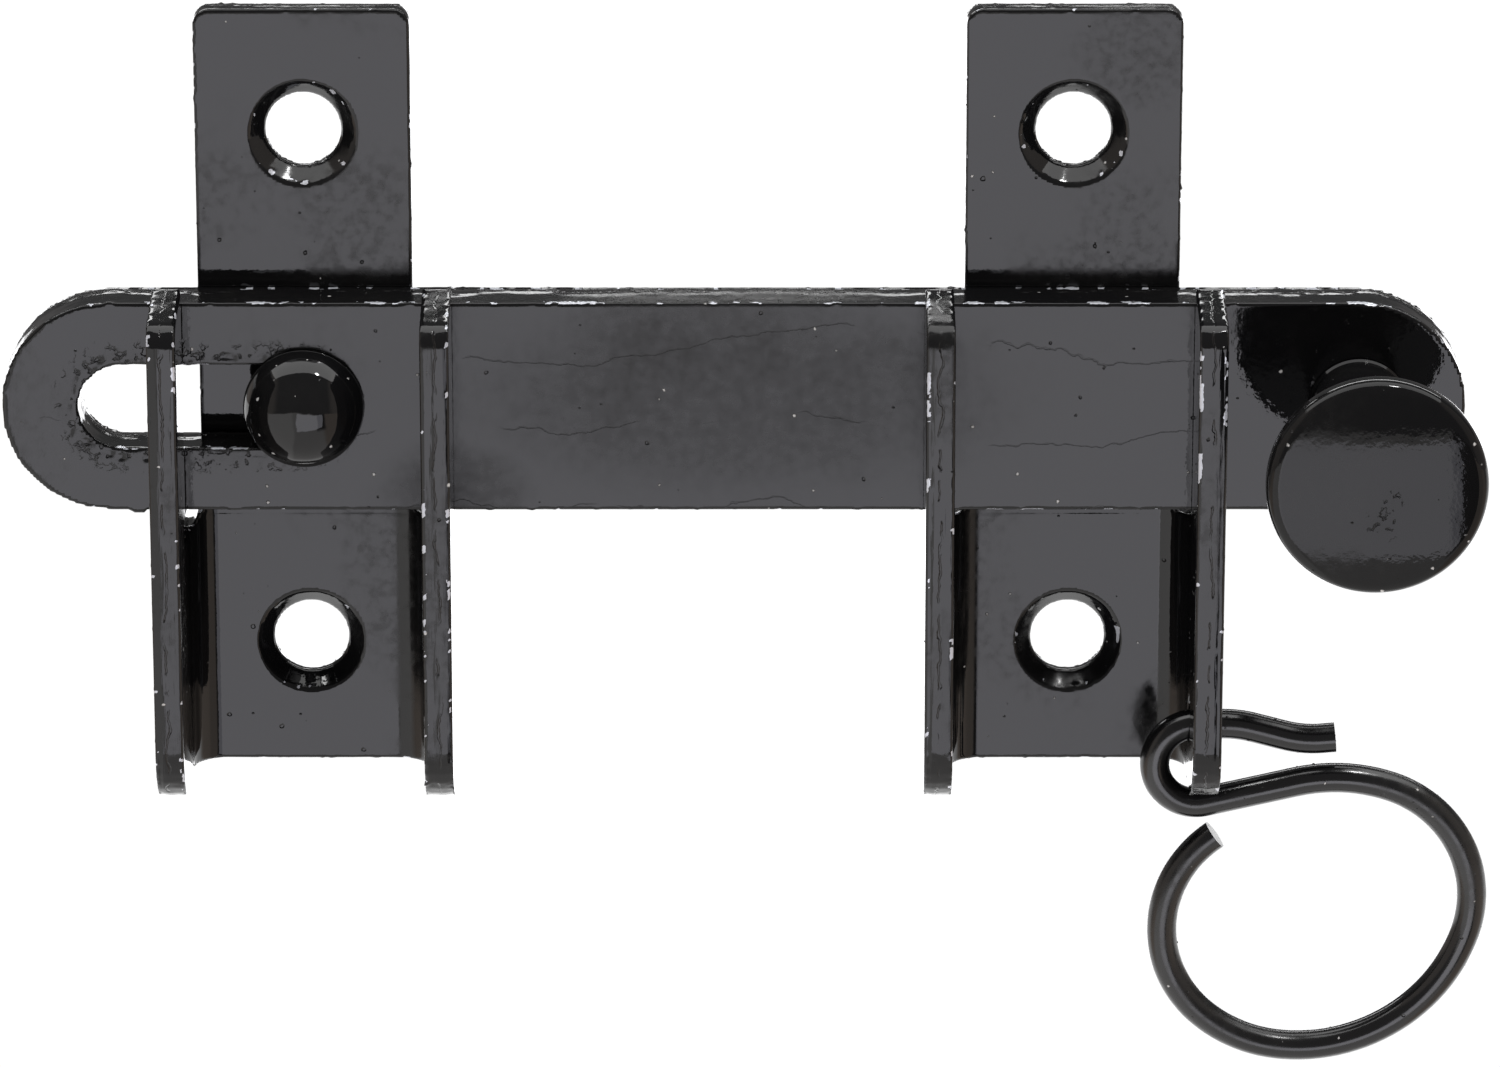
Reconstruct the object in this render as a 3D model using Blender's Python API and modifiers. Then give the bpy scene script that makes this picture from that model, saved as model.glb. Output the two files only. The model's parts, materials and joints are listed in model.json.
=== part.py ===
"""Toggle bolt latch: a flat bar that slides through two folded sheet brackets.

Metres, +Z up. The bar runs along X and its tip points to -X. The brackets stand on a door face at
Y = 0 and the front faces -Y. The origin is on the back face of the right bracket, on the bar's
centre line.
"""

import math

import bmesh
import bpy
from mathutils import Matrix, Vector

# ---------------------------------------------------------------- driving dimensions

RUNNING_GAP = 0.0003            # between neighbouring pieces

BRACKET_SPACING = 0.0800        # centre line to centre line
BRACKET_HALF_HEIGHT = 0.0410
SHEET = 0.0030
STRAP_WIDTH = 0.0225
STRAP_CORNER = 0.0018
SCREW_OFFSET = 0.02775          # screw holes above and below the bar's centre line
SCREW_HOLE = 0.0078
COUNTERSINK = 0.0112            # diameter of the 90 degree countersink's rim

EAR_INNER = 0.0125              # half the distance between the ears' inner faces
EAR_FRONT = 0.0200              # the ears' front edge, from the door
EAR_BEND = 0.0035               # inner radius of the fold
ARM_BACK = 0.0098               # the arms' back edge, from the door
ARM_TOP = 0.0130                # above the bar's centre line
ARM_TOP_SLOPE = math.radians(9)
ARM_TOP_CORNER = 0.0024
EAR_FOOT_CORNER = 0.0066
SHOULDER = -0.0116              # top of the ears behind the arms, just under the bar
SLIT_BOTTOM = -0.0132           # relief slits beside the strap

BAR_LENGTH = 0.1524
BAR_WIDTH = 0.0225
BAR_THICKNESS = 0.0060
TIP_BEYOND_RIVET = 0.0315       # from the rivet to the bar's tip when the bolt is shot
SLOT_WIDTH = 0.0088
THROW = 0.0190                  # the slot lets the bar slide this far

RIVET_HEAD = 0.0126             # diameter of the dome
RIVET_HEIGHT = 0.0050
RIVET_SHANK = 0.0080
RIVET_TAIL = 0.0106             # diameter of the flush tail
RIVETED_DEPTH = 0.0015          # depth of the flare at the end of a riveted tail

KNOB_DISC = 0.0225
KNOB_EDGE = 0.0032              # thickness of the disc at its edge
KNOB_CROWN = 0.0006             # rise of the disc's face at its centre
KNOB_STANDOFF = 0.0256          # from the bar's front to the disc's back edge
KNOB_STEM = 0.0100
KNOB_FLARE = 0.0007             # how much the stem widens at both ends
KNOB_TAIL = 0.0070
KNOB_TAIL_HEAD = 0.0106

RING_WIRE = 0.0032
RING_HOLE = 0.0050
RING_HOLE_Y = -0.0104
RING_HOLE_Z = -0.0339
LOOP_TOP_X = 0.0134             # where the wire starts to turn down, inside the ear
# Bends of the wire from the top of the loop: straight run, bend radius, turn in degrees.
TAIL_BENDS = ((0.0028, 0.0120, -15), (0.0033, 0.0120, 20), (0.0013, 0, 0))
RING_BENDS = (
    (0.0000, 0.0044, 193),      # the small loop round the ear's lower edge
    (0.0098, 0.0182, -32),      # over the top of the large ring, which is a little oval
    (0.0000, 0.0131, -88),
    (0.0000, 0.0184, -78),
    (0.0000, 0.0151, -36),
    (0.0000, 0.0128, -104),     # up to the open end
)

ENAMEL = (0.012, 0.012, 0.013)
ENAMEL_ROUGHNESS = 0.22

BAR_BACK = SHEET + RUNNING_GAP
BAR_FRONT = BAR_BACK + BAR_THICKNESS
RIVET_X = -BRACKET_SPACING
BAR_LEFT = RIVET_X - TIP_BEYOND_RIVET
BAR_RIGHT = BAR_LEFT + BAR_LENGTH
KNOB_X = BAR_RIGHT - BAR_WIDTH / 2
RING_AXIS_Z = RING_HOLE_Z - (RING_HOLE - RING_WIRE) / 2 + RUNNING_GAP

ROUND_STEPS = 48
CORNER_STEPS = 8
PAST = 0.002                    # how far a cutter runs past the face it opens


# ---------------------------------------------------------------- helpers

def new_collection(name):
    collection = bpy.data.collections.new(name)
    bpy.context.scene.collection.children.link(collection)
    return collection


def new_object(name, data, collection):
    thing = bpy.data.objects.new(name, data)
    collection.objects.link(thing)
    return thing


def arc(centre, radius, start, end, steps=CORNER_STEPS):
    """Points on an arc in a plane; angles in degrees."""
    angles = [math.radians(start + (end - start) * i / steps) for i in range(steps + 1)]
    return [(centre[0] + radius * math.cos(a), centre[1] + radius * math.sin(a)) for a in angles]


def plate(name, outlines, thickness, matrix, collection):
    """A flat outline as a closed mesh; any outline after the first is a hole in it."""
    curve = bpy.data.curves.new(name, "CURVE")
    curve.dimensions = "2D"
    curve.fill_mode = "BOTH"
    curve.extrude = thickness / 2
    for outline in outlines:
        spline = curve.splines.new("POLY")
        spline.points.add(len(outline) - 1)
        for point, (u, v) in zip(spline.points, outline):
            point.co = (u, v, 0, 1)
        spline.use_cyclic_u = True
    return as_mesh(new_object(name + "_outline", curve, collection), name, matrix, collection)


def as_mesh(source, name, matrix, collection):
    """Turn a curve object into a mesh object with welded caps, and remove the curve."""
    bpy.context.view_layer.update()
    evaluated = source.evaluated_get(bpy.context.evaluated_depsgraph_get())
    mesh = bpy.data.meshes.new_from_object(evaluated)
    mesh.name = name
    work = bmesh.new()
    work.from_mesh(mesh)
    bmesh.ops.remove_doubles(work, verts=work.verts, dist=1e-6)
    bmesh.ops.transform(work, matrix=matrix, verts=work.verts)
    bmesh.ops.recalc_face_normals(work, faces=work.faces)
    work.to_mesh(mesh)
    work.free()
    bpy.data.objects.remove(source)
    return new_object(name, mesh, collection)


def turned(name, profile, collection):
    """A solid turned about Z from (radius, height) points that run down its outer side."""
    mesh = bpy.data.meshes.new(name)
    points = [(radius, 0, height) for radius, height in profile]
    mesh.from_pydata(points, [(i, i + 1) for i in range(len(points) - 1)], [])
    thing = new_object(name, mesh, collection)
    screw = thing.modifiers.new("turn", "SCREW")
    screw.steps = ROUND_STEPS
    screw.render_steps = ROUND_STEPS
    screw.use_merge_vertices = True
    screw.merge_threshold = 0.00001
    return thing


def box(name, low, high, collection):
    mesh = bpy.data.meshes.new(name)
    work = bmesh.new()
    bmesh.ops.create_cube(work, size=1)
    low, high = Vector(low), Vector(high)
    size = Matrix.Diagonal((*(high - low), 1))
    bmesh.ops.transform(work, matrix=Matrix.Translation((low + high) / 2) @ size, verts=work.verts)
    work.to_mesh(mesh)
    work.free()
    return new_object(name, mesh, collection)


def round_cutter(name, profile, place, collection):
    cutter = turned(name, profile, collection)
    cutter.matrix_world = place
    return cutter


def boolean(target, tool, operation):
    modifier = target.modifiers.new(operation.lower() + "_" + tool.name, "BOOLEAN")
    modifier.operation = operation
    modifier.object = tool
    modifier.solver = "EXACT"


def riveted_tail(shank, head, back):
    """The end of a shank that is hammered out into a flare, just short of the face behind it."""
    end = back + RUNNING_GAP
    return [(shank / 2, end + RIVETED_DEPTH), (head / 2, end), (0, end)]


def tail_hole(shank, head, back, front):
    """A cutter for the same tail's hole, a running gap wider, past both faces."""
    flare = back + 2 * RUNNING_GAP
    narrow, wide = shank / 2 + RUNNING_GAP, head / 2 + RUNNING_GAP
    profile = [(0, front + PAST), (narrow, front + PAST), (narrow, flare + RIVETED_DEPTH)]
    return profile + [(wide, flare), (wide, back - PAST), (0, back - PAST)]


def hide_cutters(collection):
    for cutter in collection.objects:
        cutter.hide_render = True
        cutter.display_type = "WIRE"


def finish(thing):
    """Give a node its own enamel and shade it smooth apart from its edges."""
    material = bpy.data.materials.new(thing.name + "_enamel")
    material.use_nodes = True
    shader = material.node_tree.nodes["Principled BSDF"]
    shader.inputs["Base Color"].default_value = (*ENAMEL, 1)
    shader.inputs["Roughness"].default_value = ENAMEL_ROUGHNESS
    shader.inputs["Metallic"].default_value = 0.0
    thing.data.materials.append(material)
    thing.data.shade_smooth()
    thing.data.set_sharp_from_angle(angle=math.radians(35))


FACING_FRONT = Matrix.Rotation(math.radians(90), 4, "X")        # local (X, Y, Z) to X, Z, -Y
SIDEWAYS = Matrix.Rotation(math.radians(90), 4, "Z") @ FACING_FRONT     # local to Y, Z, X


# ---------------------------------------------------------------- brackets

def channel_section():
    """Cross-section of the folded part seen from above, as (X, Y) points."""
    web = EAR_INNER - EAR_BEND
    fold = -(EAR_BEND + SHEET)
    front, outside = -EAR_FRONT, EAR_INNER + SHEET
    outer_right = arc((web, fold), EAR_BEND + SHEET, 90, 0)
    inner_right = arc((web, fold), EAR_BEND, 0, 90)
    inner_left = arc((-web, fold), EAR_BEND, 90, 180)
    outer_left = arc((-web, fold), EAR_BEND + SHEET, 180, 90)
    right_ear = [(outside, front), (EAR_INNER, front)]
    left_ear = [(-EAR_INNER, front), (-outside, front)]
    return outer_right + right_ear + inner_right + inner_left + left_ear + outer_left


def ear_profile():
    """The folded part seen from its side, as (Y, Z) points."""
    foot, corner, slope = EAR_FOOT_CORNER, ARM_TOP_CORNER, math.tan(ARM_TOP_SLOPE)
    bottom = -BRACKET_HALF_HEIGHT
    run = EAR_FRONT - corner - ARM_BACK
    corner_z = ARM_TOP - run * slope - corner / math.cos(ARM_TOP_SLOPE)
    points = [(PAST, SHOULDER), (PAST, bottom)]
    points += arc((-EAR_FRONT + foot, bottom + foot), foot, 270, 180)
    points += arc((-EAR_FRONT + corner, corner_z), corner, 180, 90 + math.degrees(ARM_TOP_SLOPE))
    return points + [(-ARM_BACK, ARM_TOP), (-ARM_BACK, SHOULDER)]


def strap_outline():
    half, corner, top = STRAP_WIDTH / 2, STRAP_CORNER, BRACKET_HALF_HEIGHT
    foot = SLIT_BOTTOM - SHEET
    points = [(-half, foot), (half, foot)]
    points += arc((half - corner, top - corner), corner, 0, 90)
    return points + arc((-half + corner, top - corner), corner, 90, 180)


def bracket(name, x, parts, cutters):
    """One stamped sheet: a strap, a lower plate and two ears folded forward."""
    centre = Matrix.Translation((x, 0, 0))
    section_height = 2 * (BRACKET_HALF_HEIGHT + PAST)
    body = plate(name, [channel_section()], section_height, centre, parts)

    side_width = 2 * (EAR_INNER + SHEET + PAST)
    side = plate(name + "_side_view", [ear_profile()], side_width, centre @ SIDEWAYS, cutters)
    boolean(body, side, "INTERSECT")

    for label, edges in (("left", (-EAR_INNER, -STRAP_WIDTH / 2)), ("right", (STRAP_WIDTH / 2, EAR_INNER))):
        low = (x + edges[0], -EAR_FRONT, SLIT_BOTTOM)
        high = (x + edges[1], PAST, SHOULDER + PAST)
        boolean(body, box(f"{name}_{label}_slit", low, high, cutters), "DIFFERENCE")

    strap_place = centre @ Matrix.Translation((0, -SHEET / 2, 0)) @ FACING_FRONT
    boolean(body, plate(name + "_strap", [strap_outline()], SHEET, strap_place, cutters), "UNION")

    rim, hole = COUNTERSINK / 2, SCREW_HOLE / 2
    screw_profile = [
        (0, PAST), (rim + PAST, PAST), (hole, hole - rim), (hole, -SHEET - PAST), (0, -SHEET - PAST)
    ]
    for label, z in (("upper", SCREW_OFFSET), ("lower", -SCREW_OFFSET)):
        spot = centre @ Matrix.Translation((0, -SHEET, z)) @ FACING_FRONT
        cutter = round_cutter(f"{name}_{label}_screw_hole", screw_profile, spot, cutters)
        boolean(body, cutter, "DIFFERENCE")
    return body


def rivet_hole(bracket_body, cutters):
    """The stop rivet's hole in the left strap, flared at the back for its flush tail."""
    spot = Matrix.Translation((RIVET_X, 0, 0)) @ FACING_FRONT
    profile = tail_hole(RIVET_SHANK, RIVET_TAIL, 0, SHEET)
    boolean(bracket_body, round_cutter("rivet_hole", profile, spot, cutters), "DIFFERENCE")


def ring_hole(bracket_body, cutters):
    """The ring's hole, through the right ear only."""
    radius, reach = RING_HOLE / 2, SHEET / 2 + PAST
    profile = [(0, reach), (radius, reach), (radius, -reach), (0, -reach)]
    spot = Matrix.Translation((EAR_INNER + SHEET / 2, RING_HOLE_Y, RING_HOLE_Z)) @ SIDEWAYS
    boolean(bracket_body, round_cutter("ring_hole", profile, spot, cutters), "DIFFERENCE")


# ---------------------------------------------------------------- bolt

def stadium(left, right, width):
    """An outline with two half-round ends, between the ends' furthest points."""
    r = width / 2
    return arc((right - r, 0), r, -90, 90, 24) + arc((left + r, 0), r, 90, 270, 24)


def bolt_bar(parts, cutters):
    slot_right = RIVET_X + SLOT_WIDTH / 2
    slot_left = RIVET_X - THROW - SLOT_WIDTH / 2
    outlines = [stadium(BAR_LEFT, BAR_RIGHT, BAR_WIDTH), stadium(slot_left, slot_right, SLOT_WIDTH)]
    place = Matrix.Translation((0, -(BAR_BACK + BAR_FRONT) / 2, 0)) @ FACING_FRONT
    bar = plate("bolt_bar", outlines, BAR_THICKNESS, place, parts)

    profile = tail_hole(KNOB_TAIL, KNOB_TAIL_HEAD, BAR_BACK, BAR_FRONT)
    spot = Matrix.Translation((KNOB_X, 0, 0)) @ FACING_FRONT
    boolean(bar, round_cutter("knob_hole", profile, spot, cutters), "DIFFERENCE")
    return bar


def stop_rivet(parts):
    """Dome head over the bar's slot, straight shank, and a flush tail in the strap's back."""
    head = RIVET_HEAD / 2
    sphere = (head ** 2 + RIVET_HEIGHT ** 2) / (2 * RIVET_HEIGHT)
    under = BAR_FRONT + RUNNING_GAP
    edge = math.degrees(math.asin(head / sphere))
    dome = arc((0, under + RIVET_HEIGHT - sphere), sphere, 90, 90 - edge, 12)
    dome[0] = (0, under + RIVET_HEIGHT)
    profile = dome + [(RIVET_SHANK / 2, under)] + riveted_tail(RIVET_SHANK, RIVET_TAIL, 0)
    rivet = turned("stop_rivet", profile, parts)
    rivet.matrix_world = Matrix.Translation((RIVET_X, 0, 0)) @ FACING_FRONT
    return rivet


def knob(parts):
    """A crowned disc on a stem, with a tail riveted over in the bar's back."""
    seat = BAR_FRONT + RUNNING_GAP
    back = BAR_FRONT + KNOB_STANDOFF
    rim = KNOB_DISC / 2
    crown = (rim ** 2 + KNOB_CROWN ** 2) / (2 * KNOB_CROWN)
    edge = math.degrees(math.asin((rim - KNOB_EDGE / 2) / crown))
    face = arc((0, back + KNOB_EDGE + KNOB_CROWN - crown), crown, 90, 90 - edge, 8)
    face[0] = (0, face[0][1])
    rolled = arc((rim - KNOB_EDGE / 2, back + KNOB_EDGE / 2), KNOB_EDGE / 2, 80, -90)
    stem, flare = KNOB_STEM / 2, KNOB_FLARE
    neck = arc((stem + flare, back - flare), flare, 90, 180, 6)
    foot = arc((stem + flare, seat + flare), flare, 180, 270, 6)
    tail = [(KNOB_TAIL / 2, seat)] + riveted_tail(KNOB_TAIL, KNOB_TAIL_HEAD, BAR_BACK)
    thing = turned("knob", face + rolled + neck + foot + tail, parts)
    thing.matrix_world = Matrix.Translation((KNOB_X, 0, 0)) @ FACING_FRONT
    return thing


# ---------------------------------------------------------------- ring

def bent_wire(start, heading, bends):
    """Points along a wire that runs straight and then bends, once for each entry."""
    (x, z), angle = start, math.radians(heading)
    points = [(x, z)]
    for straight, radius, turn in bends:
        if straight:
            x += straight * math.cos(angle)
            z += straight * math.sin(angle)
            points.append((x, z))
        steps = max(1, round(abs(turn) / 11))
        step = math.radians(turn) / steps
        for _ in range(steps if turn else 0):
            chord = 2 * radius * math.sin(abs(step) / 2)
            x += chord * math.cos(angle + step / 2)
            z += chord * math.sin(angle + step / 2)
            angle += step
            points.append((x, z))
    return points


def ring(parts):
    """Round wire: a short tail, a small loop through the ear's hole and a large open ring."""
    start = (LOOP_TOP_X, RING_AXIS_Z)
    tail = bent_wire(start, 0, TAIL_BENDS)
    loop = bent_wire(start, 180, RING_BENDS)
    route = list(reversed(tail)) + loop[1:]
    curve = bpy.data.curves.new("ring", "CURVE")
    curve.dimensions = "3D"
    curve.bevel_depth = RING_WIRE / 2
    curve.bevel_resolution = 3
    curve.use_fill_caps = True
    spline = curve.splines.new("POLY")
    spline.points.add(len(route) - 1)
    for point, (x, z) in zip(spline.points, route):
        point.co = (x, 0, z - RING_AXIS_Z, 1)
    wire = as_mesh(new_object("ring_route", curve, parts), "ring", Matrix.Identity(4), parts)
    wire.location = (0, RING_HOLE_Y, RING_AXIS_Z)      # its origin is on the axis it swings about
    return wire


# ---------------------------------------------------------------- assembly

def build():
    for thing in list(bpy.data.objects):
        bpy.data.objects.remove(thing)
    parts = new_collection("toggle_bolt_latch")
    cutters = new_collection("cutters")

    left = bracket("left_bracket", -BRACKET_SPACING, parts, cutters)
    rivet_hole(left, cutters)
    right = bracket("right_bracket", 0, parts, cutters)
    ring_hole(right, cutters)
    bar = bolt_bar(parts, cutters)
    rivet = stop_rivet(parts)
    grip = knob(parts)
    wire = ring(parts)
    for thing in (left, right, bar, rivet, grip, wire):
        finish(thing)
    hide_cutters(cutters)


build()
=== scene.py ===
"""Toggle bolt latch in black enamelled steel, piece by piece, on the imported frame.

Metres. The bar runs along X, its tip to -X. The door face is the plane Y = 0 and the front
faces -Y. The origin is on the back of the right bracket, on the bar's centre line.
"""

import json
import math

import bmesh
import bpy
import numpy as np
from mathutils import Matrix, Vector

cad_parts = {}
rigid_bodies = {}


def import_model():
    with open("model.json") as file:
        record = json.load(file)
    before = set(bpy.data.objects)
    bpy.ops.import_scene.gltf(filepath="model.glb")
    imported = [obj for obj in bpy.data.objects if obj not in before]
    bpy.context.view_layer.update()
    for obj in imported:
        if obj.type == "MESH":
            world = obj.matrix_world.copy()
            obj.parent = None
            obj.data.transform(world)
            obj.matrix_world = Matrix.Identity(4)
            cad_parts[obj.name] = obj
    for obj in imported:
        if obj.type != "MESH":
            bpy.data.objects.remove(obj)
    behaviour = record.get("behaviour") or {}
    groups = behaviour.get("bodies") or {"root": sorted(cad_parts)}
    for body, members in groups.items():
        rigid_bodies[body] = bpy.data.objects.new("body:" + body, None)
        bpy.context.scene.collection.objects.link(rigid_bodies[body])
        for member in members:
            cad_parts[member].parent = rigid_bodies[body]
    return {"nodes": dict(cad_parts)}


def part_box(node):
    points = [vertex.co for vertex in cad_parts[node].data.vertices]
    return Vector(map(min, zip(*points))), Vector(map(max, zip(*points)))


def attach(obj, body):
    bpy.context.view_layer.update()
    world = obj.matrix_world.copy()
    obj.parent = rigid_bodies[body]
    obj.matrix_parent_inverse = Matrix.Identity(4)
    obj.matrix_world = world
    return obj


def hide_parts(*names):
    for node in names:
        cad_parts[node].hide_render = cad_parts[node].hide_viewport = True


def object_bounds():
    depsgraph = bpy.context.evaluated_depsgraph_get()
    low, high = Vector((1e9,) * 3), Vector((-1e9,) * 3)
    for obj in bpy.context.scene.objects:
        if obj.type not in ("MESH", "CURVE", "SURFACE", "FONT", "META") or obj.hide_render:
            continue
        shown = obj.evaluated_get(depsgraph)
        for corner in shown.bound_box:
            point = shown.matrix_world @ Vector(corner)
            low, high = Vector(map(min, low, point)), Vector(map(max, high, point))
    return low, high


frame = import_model()
cad_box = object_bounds()
scene = bpy.context.scene


# ---------------------------------------------------------------- camera
# A long lens a little above the latch, square on to the door face.

AIM = Vector((-0.0336, -0.0093, -0.01385))
CAMERA_DISTANCE = 0.850
CAMERA_RISE = math.radians(17.9)

lens = bpy.data.cameras.new("camera")
lens.lens = 195.2
lens.sensor_width = 36
lens.clip_start = 0.01
camera = bpy.data.objects.new("camera", lens)
scene.collection.objects.link(camera)
away = Vector((0, -math.cos(CAMERA_RISE), math.sin(CAMERA_RISE)))
camera.location = AIM + CAMERA_DISTANCE * away
camera.rotation_euler = (math.radians(90) - CAMERA_RISE, 0, 0)
scene.camera = camera


# ---------------------------------------------------------------- floor and light
# A white seamless floor, in a plain studio. White reflectors stand low in front and behind, with
# a bright strip above the rear one. A soft box hangs overhead, and a bare lamp gives the glints.

WHITE = 1.05
FLOOR_GAP = 0.001
FLOOR_REACH = 6


def joined(tree, kind, **inputs):
    """A node in a tree. Each input is named; a socket is linked to it and a value is set."""
    made = tree.nodes.new(kind)
    for name, value in inputs.items():
        socket = made.inputs[name.replace("_", " ")]
        if isinstance(value, bpy.types.NodeSocket):
            tree.links.new(value, socket)
        else:
            socket.default_value = value
    return made


def reckon(tree, operation, *terms):
    """The result of a Math node."""
    made = tree.nodes.new("ShaderNodeMath")
    made.operation = operation
    for socket, term in zip(made.inputs, terms):
        if isinstance(term, bpy.types.NodeSocket):
            tree.links.new(term, socket)
        else:
            socket.default_value = term
    return made.outputs[0]


def fade(tree, value, start, end):
    """0 at start and 1 at end, smoothly."""
    made = joined(tree, "ShaderNodeMapRange", Value=value, From_Min=start, From_Max=end)
    made.interpolation_type = "SMOOTHSTEP"
    return made.outputs["Result"]


def blended(tree, mask, first, second):
    """A colour that goes from the first to the second as the mask goes from 0 to 1."""
    made = tree.nodes.new("ShaderNodeMix")
    made.data_type = "RGBA"
    for socket, value in ((made.inputs[0], mask), (made.inputs[6], first), (made.inputs[7], second)):
        if isinstance(value, bpy.types.NodeSocket):
            tree.links.new(value, socket)
        else:
            socket.default_value = value
    return made.outputs[2]


floor_mesh = bpy.data.meshes.new("floor")
floor_z = cad_box[0].z - FLOOR_GAP
floor_sides = ((-1, -1), (1, -1), (1, 1), (-1, 1))
floor_corners = [(x * FLOOR_REACH, y * FLOOR_REACH, floor_z) for x, y in floor_sides]
floor_mesh.from_pydata(floor_corners, [], [(0, 1, 2, 3)])
floor = bpy.data.objects.new("floor", floor_mesh)
scene.collection.objects.link(floor)
floor_paint = bpy.data.materials.new("white_floor")
floor_paint.use_nodes = True
floor_paint.node_tree.nodes.clear()
floor_glow = joined(floor_paint.node_tree, "ShaderNodeEmission", Color=(1, 1, 1, 1), Strength=WHITE)
joined(floor_paint.node_tree, "ShaderNodeOutputMaterial", Surface=floor_glow.outputs[0])
floor_mesh.materials.append(floor_paint)
floor.visible_glossy = False
floor.visible_diffuse = False
floor.visible_shadow = False

# What the enamel reflects. Below the horizon is pale ground, brightest behind and brighter on the
# left, with a dark band on the right. Above it is a dim room, with a dark backdrop behind.
room = bpy.data.worlds.new("room")
room.use_nodes = True
tree = room.node_tree
tree.nodes.clear()
facing = tree.nodes.new("ShaderNodeTexCoord").outputs["Generated"]
sides = joined(tree, "ShaderNodeSeparateXYZ", Vector=facing)
across, along, height = sides.outputs[0], sides.outputs[1], sides.outputs[2]
sideways = reckon(tree, "ABSOLUTE", across)
low = fade(tree, height, -0.124, -0.134)
behind = fade(tree, along, 0.05, 0.30)
sweep = reckon(tree, "MULTIPLY", fade(tree, height, 0.14, 0.20), fade(tree, height, 0.84, 0.76))
sweep = reckon(tree, "MULTIPLY", behind, sweep)
right = reckon(tree, "MULTIPLY", fade(tree, across, 0.275, 0.295), fade(tree, height, -0.56, -0.46))
left = fade(tree, across, -0.19, -0.26)
ground = blended(tree, left, (0.80, 0.78, 0.77, 1), (1.10, 1.08, 1.07, 1))
ground = blended(tree, fade(tree, across, 0.40, 0.50), ground, (0.62, 0.53, 0.46, 1))
right = reckon(tree, "MULTIPLY", right, fade(tree, across, 0.52, 0.44))
ground = blended(tree, right, ground, (0.07, 0.065, 0.06, 1))
ground = blended(tree, fade(tree, sideways, 0.76, 0.86), ground, (0.76, 0.64, 0.55, 1))
ground = blended(tree, fade(tree, sideways, 0.93, 0.98), ground, (0.42, 0.39, 0.37, 1))
ground = blended(tree, behind, ground, (1.45, 1.45, 1.45, 1))
upper = blended(tree, fade(tree, sideways, 0.60, 0.75), (0.16, 0.155, 0.155, 1), (0.42, 0.38, 0.35, 1))
colour = blended(tree, low, upper, ground)
colour = blended(tree, sweep, colour, (0.13, 0.13, 0.13, 1))
seen = joined(tree, "ShaderNodeBackground", Color=(1, 1, 1, 1), Strength=WHITE)
lit = joined(tree, "ShaderNodeBackground", Color=colour, Strength=1.0)
choice = tree.nodes.new("ShaderNodeMixShader")
tree.links.new(tree.nodes.new("ShaderNodeLightPath").outputs["Is Camera Ray"], choice.inputs[0])
tree.links.new(lit.outputs[0], choice.inputs[1])
tree.links.new(seen.outputs[0], choice.inputs[2])
joined(tree, "ShaderNodeOutputWorld", Surface=choice.outputs[0])
scene.world = room


def panel(name, place, towards, width, height, brightness, tint=(1, 1, 1)):
    """A soft rectangular light. Its brightness is that of its surface."""
    light = bpy.data.lights.new(name, "AREA")
    light.shape = "RECTANGLE"
    light.size = width
    light.size_y = height
    light.energy = brightness * math.pi * width * height
    light.color = tint
    lamp = bpy.data.objects.new(name, light)
    lamp.location = place
    lamp.rotation_euler = (Vector(towards) - Vector(place)).to_track_quat("-Z", "Y").to_euler()
    lamp.visible_camera = False
    scene.collection.objects.link(lamp)


panel("front_reflector", (0.040, -0.80, -0.272), (0.040, 0, -0.02), 0.52, 0.306, 1.40, (0.95, 0.95, 1.06))
panel("rear_reflector", (-0.03, 0.80, -0.27), (-0.03, 0, -0.02), 0.60, 0.34, 1.6, (0.97, 0.97, 1.0))
panel("bright_strip", (-0.03, 0.80, 0.465), (-0.03, 0, 0), 1.30, 0.10, 5.2)
panel("soft_box", (-0.03, 0.02, 0.80), (-0.03, 0.02, 0), 1.80, 0.70, 1.9)
panel("bare_lamp", (0.22, -0.26, 0.74), (0, 0, 0), 0.07, 0.07, 70.0)


# ---------------------------------------------------------------- brackets
# Two stampings of 3 mm steel sheet. Each is a strap with a screw hole at both ends, and its
# lower half has two ears folded forward round the bar. They are dipped in glossy black enamel.

# A bracket's section in millimetres: its sheet, the ears' outer faces and the folds' centres.
SHEET, EAR_OUTER, FOLD_X, FOLD_Y = 3, 15.5, 9, 6.5
NOTCH_FRONT, NOTCH_BACK = -0.0120, 0.0020
BRACKETS = (("left", "left_bracket", 1), ("right", "right_bracket", 2))


def ripple(places, size, seed):
    """A smooth random field, about -1 to 1, whose bumps are about that size across."""
    draws = np.random.default_rng(seed)
    waves = draws.normal(size=(16, 3)) * (3.6 / size)
    turns = draws.uniform(0, 2 * math.pi, 16)
    return np.sin(places @ waves.T + turns).sum(axis=1) / 4.2


def prism(name, outline, front, back):
    """A cutter: an outline of (X, Z) points that runs from one Y to another."""
    count = len(outline)
    places = [(x, y, z) for y in (front, back) for x, z in outline]
    faces = [tuple(range(count)), tuple(reversed(range(count, 2 * count)))]
    faces += [(i, i + count, (i + 1) % count + count, (i + 1) % count) for i in range(count)]
    mesh = bpy.data.meshes.new(name)
    mesh.from_pydata(places, [], faces)
    work = bmesh.new()
    work.from_mesh(mesh)
    bmesh.ops.recalc_face_normals(work, faces=work.faces)
    work.to_mesh(mesh)
    work.free()
    tool = bpy.data.objects.new(name, mesh)
    scene.collection.objects.link(tool)
    return tool


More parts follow.
